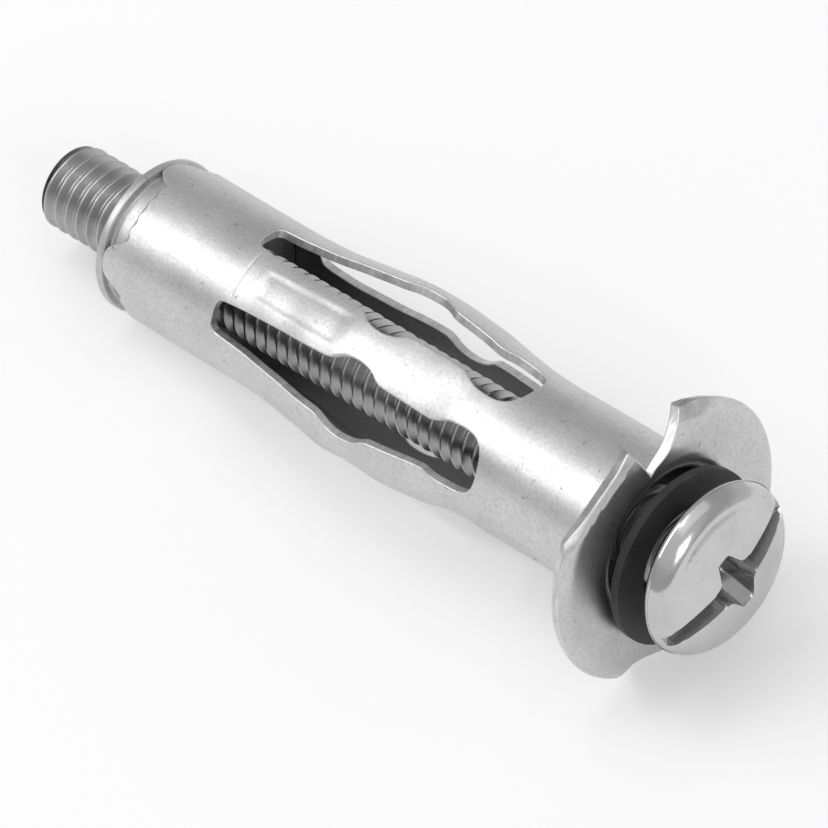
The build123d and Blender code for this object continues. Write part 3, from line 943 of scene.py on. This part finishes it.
def make_sleeve():
    """The sleeve as one closed skin: outer and inner faces and a rounded, sheared edge."""
    seam = FIRST_SLOT_ANGLE + LEG_PITCH * 2.5
    start, stop = seam - 2 * math.pi, seam
    ends = end_outline(start, stop)
    ends[0, 0] = start
    ends = np.vstack([ends, (stop, ends[0, 1])])
    rim = rim_outline(start, stop)
    rim[0] = (start, rim[0, 1])
    rim = np.vstack([rim, (stop, rim[0, 1])])
    slots = [slot_loop(FIRST_SLOT_ANGLE + k * LEG_PITCH) for k in range(-2, 3)]

    open_edges = [
        (ends, inset_loop(ends, EDGE_ROUND, closed=False), False),
        (rim[::-1], inset_loop(rim[::-1], EDGE_ROUND, closed=False), False),
    ]
    for loop in slots:
        area = np.sum(loop[:, 0] * np.roll(loop[:, 1], -1) - np.roll(loop[:, 0], -1) * loop[:, 1])
        if area > 0:
            loop = loop[::-1]
        open_edges.append((loop, inset_loop(loop, EDGE_ROUND), True))
    for true_loop, moved, _ in open_edges[:2]:
        moved[[0, -1], 0] = true_loop[[0, -1], 0]

    end_in, rim_in = open_edges[0][1], open_edges[1][1]
    seam_runs = np.arange(end_in[-1, 1] + 0.4, rim_in[0, 1] - 0.2, 0.4)
    border = np.vstack([
        end_in,
        np.c_[np.full(len(seam_runs), stop), seam_runs],
        rim_in,
        np.c_[np.full(len(seam_runs), start), seam_runs][::-1],
    ])
    loops = [border] + [moved for _, moved, closed in open_edges if closed]

    step = 2 * math.pi / SLEEVE_COLUMNS
    samples = []
    rows = list(np.arange(0.4, TUBE_RUN, 0.42))
    rows += list(TUBE_RUN + BEND_RUN * np.linspace(0, 1, 6))
    rows += list(np.arange(TUBE_RUN + BEND_RUN + 0.2, FULL_RUN - 0.1, 0.2))
    for number, run in enumerate(rows):
        dense = 2 if run > TUBE_RUN else 1
        shift = 0.5 * (number % 2) * step / dense
        for angle in np.arange(start + step / 2 + shift, stop - step / 4, step / dense):
            samples.append((angle, run))
    for k in range(-2, 4):
        centre = FIRST_SLOT_ANGLE + (k - 0.5) * LEG_PITCH
        for across in PANEL_ACROSS:
            for run in np.arange(SLEEVE_LENGTH - 27.5, SLEEVE_LENGTH - 19.8, 0.22):
                samples.append((centre + across / TUBE_RADIUS, run))
        for station in SCRIBED_STATIONS:
            for across in np.arange(-1.5, 1.51, 0.15):
                samples.append((centre + across / TUBE_RADIUS, station + SLEEVE_LENGTH))
    samples = np.array(samples)
    samples = samples[(samples[:, 0] > start + 0.03) & (samples[:, 0] < stop - 0.03)]
    keep = inside(samples, border)
    for loop in loops[1:]:
        keep &= ~inside(samples, loop)
    samples = samples[keep]
    for loop in loops:
        samples = samples[clearance(samples, loop) > 0.13]
    unique = {}
    for angle, run in samples:
        unique[(round(angle * TUBE_RADIUS / 0.05), round(run / 0.05))] = (angle, run)
    samples = np.array(list(unique.values()))

    flat = []
    edges = []
    loop_ids = []
    for loop in loops:
        first = len(flat)
        flat += [tuple(p) for p in loop]
        ids = list(range(first, first + len(loop)))
        edges += [(ids[k], ids[(k + 1) % len(ids)]) for k in range(len(ids))]
        loop_ids.append(ids)
    flat += [tuple(p) for p in samples]
    scaled = [Vector((a * TUBE_RADIUS, m)) for a, m in flat]
    verts, _, triangles, origin_verts, _, _ = delaunay_2d_cdt(scaled, edges, [], 0, 1e-7)
    plane = np.array([(v.x / TUBE_RADIUS, v.y) for v in verts])
    renumber = {}
    for new, olds in enumerate(origin_verts):
        for old in olds:
            renumber[old] = new
    triangles = np.array([t for t in triangles if len(t) == 3])
    middles = plane[triangles].mean(1)
    keep = inside(middles, border)
    for loop in loops[1:]:
        keep &= ~inside(middles, loop)
    triangles = triangles[keep]

    half = SHEET / 2
    count = len(plane)
    outer = sheet_point(plane[:, 0], plane[:, 1], half)
    inner = sheet_point(plane[:, 0], plane[:, 1], -half)
    normal = surface_normal(plane)
    points = [outer, inner]
    normals = [normal, -normal]
    a, b, c = plane[triangles[:, 0]], plane[triangles[:, 1]], plane[triangles[:, 2]]
    turn = (b[:, 0] - a[:, 0]) * (c[:, 1] - a[:, 1]) - (b[:, 1] - a[:, 1]) * (c[:, 0] - a[:, 0])
    flipped = np.where((turn > 0)[:, None], triangles[:, ::-1], triangles)
    faces = [tuple(int(i) for i in t) for t in flipped]
    faces += [tuple(int(i) + count for i in t[::-1]) for t in flipped]
    # Painted shade: the inner faces along the tube take the darker bore metal.
    in_shaded_bore = plane[triangles].mean(1)[:, 1] < TUBE_RUN
    slots_of_faces = [FACE_METAL_SLOT] * len(flipped)
    slots_of_faces += [BORE_SHADE_SLOT if bore else FACE_METAL_SLOT for bore in in_shaded_bore]

    # The border holds the end's points, one side of the seam, then the rim's points.
    rim_first = len(end_in) + len(seam_runs)
    edge_ids = [loop_ids[0][:len(end_in)], loop_ids[0][rim_first:rim_first + len(rim_in)]]
    edge_ids += loop_ids[1:]
    total = 2 * count
    for (true_loop, moved, closed), own_ids in zip(open_edges, edge_ids):
        ids = [renumber[i] for i in own_ids]
        previous = ids
        surface = surface_normal(moved)
        outward = sheet_point(true_loop[:, 0], true_loop[:, 1], 0.0)
        outward -= sheet_point(moved[:, 0], moved[:, 1], 0.0)
        outward /= np.linalg.norm(outward, axis=1)[:, None] + 1e-12
        for row_number, (share, height, lean) in enumerate(edge_rows()):
            spot = moved + (true_loop - moved) * share
            ring = sheet_point(spot[:, 0], spot[:, 1], height)
            points.append(ring)
            normals.append(surface * math.cos(lean) + outward * math.sin(lean))
            current = list(range(total, total + len(ring)))
            total += len(ring)
            slot = CUT_METAL_SLOT if row_number > 0 else FACE_METAL_SLOT
            add_strip(faces, slots_of_faces, previous, current, closed, slot)
            previous = current
        inner_ids = [i + count for i in ids]
        add_strip(faces, slots_of_faces, previous, inner_ids, closed, CUT_METAL_SLOT)
    metals = [SHEET_METAL, EDGE_METAL, BORE_SHADE_METAL]
    add_piece("rolled_sleeve", np.vstack(points), faces, metals, "anchor",
              node="sleeve", face_slots=slots_of_faces, normals=np.vstack(normals))


def add_strip(faces, slots, first, second, closed, slot):
    """Quads between two rows of points, with their material slot."""
    last = len(first) if closed else len(first) - 1
    for k in range(last):
        n = (k + 1) % len(first)
        faces.append((first[k], first[n], second[n], second[k]))
        slots.append(slot)


def surface_normal(plane):
    """The outward normal of the sheet at (angle, run) points."""
    step = 0.02
    angle, run = plane[:, 0], plane[:, 1]
    turn = step / TUBE_RADIUS
    around = sheet_point(angle + turn, run, 0.0) - sheet_point(angle - turn, run, 0.0)
    along = sheet_point(angle, run + step, 0.0) - sheet_point(angle, run - step, 0.0)
    normal = np.cross(along, around)
    normal /= np.linalg.norm(normal, axis=1)[:, None] + 1e-12
    _, _, nx, nr = meridian(run)
    expected = np.stack([nx, nr * np.sin(angle), nr * np.cos(angle)], -1)
    flip = np.sum(normal * expected, axis=1) < 0
    normal[flip] *= -1
    return normal


make_sleeve()
make_nut()
make_washer()
make_screw()


# ---------------------------------------------------------------- camera, floor and light


def looking(azimuth, elevation, roll):
    """Right, up and back axes of a camera at an azimuth and elevation, rolled."""
    a, e, r = (math.radians(v) for v in (azimuth, elevation, roll))
    back = Vector((math.sin(a) * math.cos(e), -math.cos(a) * math.cos(e), math.sin(e)))
    right = Vector((math.cos(a), math.sin(a), 0))
    up = back.cross(right)
    rolled_right = math.cos(r) * right + math.sin(r) * up
    rolled_up = -math.sin(r) * right + math.cos(r) * up
    return rolled_right, rolled_up, back


CAMERA_AZIMUTH = 49.498
CAMERA_ELEVATION = 48.5
CAMERA_ROLL = -7.481
CAMERA_RIGHT, CAMERA_UP, CAMERA_BACK = looking(CAMERA_AZIMUTH, CAMERA_ELEVATION, CAMERA_ROLL)
CAMERA_TARGET = Vector(TURN["pos_m"]) + Vector((-0.0124016, -0.005197, 0.0053566))
CAMERA_DISTANCE = 0.51858
SENSOR_WIDTH_MM = 36.0
LENS_MM = 443.1


def make_camera():
    """The camera that stands where the photo was taken from."""
    data = bpy.data.cameras.new("camera")
    data.sensor_width = SENSOR_WIDTH_MM
    data.lens = LENS_MM
    data.clip_start = 0.01
    camera = bpy.data.objects.new("camera", data)
    bpy.context.scene.collection.objects.link(camera)
    place = CAMERA_TARGET + CAMERA_BACK * CAMERA_DISTANCE
    basis = Matrix((CAMERA_RIGHT, CAMERA_UP, CAMERA_BACK)).transposed().to_4x4()
    camera.matrix_world = Matrix.Translation(place) @ basis
    bpy.context.scene.camera = camera


FLOOR_REACH = 1.5
# The floor's own glow for every ray, and what the camera sees on top of it.
FLOOR_GLOW = 0.13
FLOOR_LIFT = 0.14


def make_floor():
    """The plain pale floor that keeps the part's shadow."""
    mesh = bpy.data.meshes.new("floor")
    reach = FLOOR_REACH
    corners = [(-reach, -reach, 0), (reach, -reach, 0), (reach, reach, 0), (-reach, reach, 0)]
    mesh.from_pydata(corners, [], [(0, 1, 2, 3)])
    floor = bpy.data.objects.new("floor", mesh)
    bpy.context.scene.collection.objects.link(floor)
    material, tree, shader = new_material("pale_floor", 0.0)
    shader.inputs["Base Color"].default_value = (0.88, 0.88, 0.88, 1)
    shader.inputs["Roughness"].default_value = 0.9
    shader.inputs["Emission Color"].default_value = (1, 1, 1, 1)
    path = node_of(tree, "ShaderNodeLightPath")
    lift = node_of(tree, "ShaderNodeMath", operation="MULTIPLY_ADD")
    tree.links.new(path.outputs["Is Camera Ray"], lift.inputs[0])
    lift.inputs[1].default_value = FLOOR_LIFT
    lift.inputs[2].default_value = FLOOR_GLOW
    tree.links.new(lift.outputs["Value"], shader.inputs["Emission Strength"])
    mesh.materials.append(material)


LIGHT_AIM = Vector((0, 0, 0.008))


def softbox(name, towards, distance, size, power):
    """A rectangular area lamp in a direction from the anchor, aimed at it."""
    data = bpy.data.lights.new(name, "AREA")
    data.shape = "RECTANGLE"
    data.size, data.size_y = size
    data.energy = power
    lamp = bpy.data.objects.new(name, data)
    bpy.context.scene.collection.objects.link(lamp)
    aim = Vector(towards).normalized()
    place = Matrix.Translation(LIGHT_AIM + aim * distance)
    lamp.matrix_world = place @ aim.to_track_quat("Z", "Y").to_matrix().to_4x4()


# The studio's brightness round the anchor's axis: the share of a turn, then the tone. The middle
# is the side that faces the camera, and the darker gap above it lies between two softboxes.
STUDIO_TONES = [
    (0.0, 0.42), (0.25, 0.40), (0.38, 0.44), (0.45, 0.58), (0.55, 0.60), (0.62, 0.54),
    (0.68, 0.42), (0.745, 0.40), (0.80, 0.54), (0.88, 0.66), (1.0, 0.42),
]


def in_view(right, up, back):
    """A direction given along the camera's own axes."""
    return CAMERA_RIGHT * right + CAMERA_UP * up + CAMERA_BACK * back


def facing_side():
    """The direction across the axis that faces the camera."""
    return (CAMERA_BACK - AXIS * CAMERA_BACK.dot(AXIS)).normalized()


def make_lights():
    """Four softboxes, and a studio whose brightness changes round the anchor's axis."""
    softbox("key", in_view(-0.78, 0.47, 0.41), 0.6, (0.34, 0.34), 0.7)
    softbox("top", (0.0, 0.1, 1.0), 0.9, (0.8, 0.8), 0.45)
    softbox("overhead", AXIS * -0.14 + SIDE * -0.09 + UP, 0.8, (0.24, 0.24), 0.45)
    softbox("front", AXIS * 0.8 + facing_side() * 0.55, 0.7, (0.28, 0.28), 0.42)
    world = bpy.data.worlds.new("studio")
    bpy.context.scene.world = world
    world.use_nodes = True
    tree = world.node_tree
    where = node_of(tree, "ShaderNodeTexCoord")
    facing = facing_side()
    aside = facing.cross(AXIS)
    parts = []
    for direction in (aside, facing):
        dot = node_of(tree, "ShaderNodeVectorMath", operation="DOT_PRODUCT")
        dot.inputs[1].default_value = direction
        tree.links.new(where.outputs["Generated"], dot.inputs[0])
        parts.append(dot.outputs["Value"])
    angle = node_of(tree, "ShaderNodeMath", operation="ARCTAN2")
    tree.links.new(parts[0], angle.inputs[0])
    tree.links.new(parts[1], angle.inputs[1])
    share = node_of(tree, "ShaderNodeMapRange")
    share.inputs["From Min"].default_value = -math.pi
    share.inputs["From Max"].default_value = math.pi
    tree.links.new(angle.outputs["Value"], share.inputs["Value"])
    tone = ramp(tree, share.outputs["Result"], STUDIO_TONES)
    tree.links.new(tone, tree.nodes["Background"].inputs["Color"])


make_camera()
make_floor()
make_lights()
bpy.context.scene.view_settings.view_transform = "Standard"
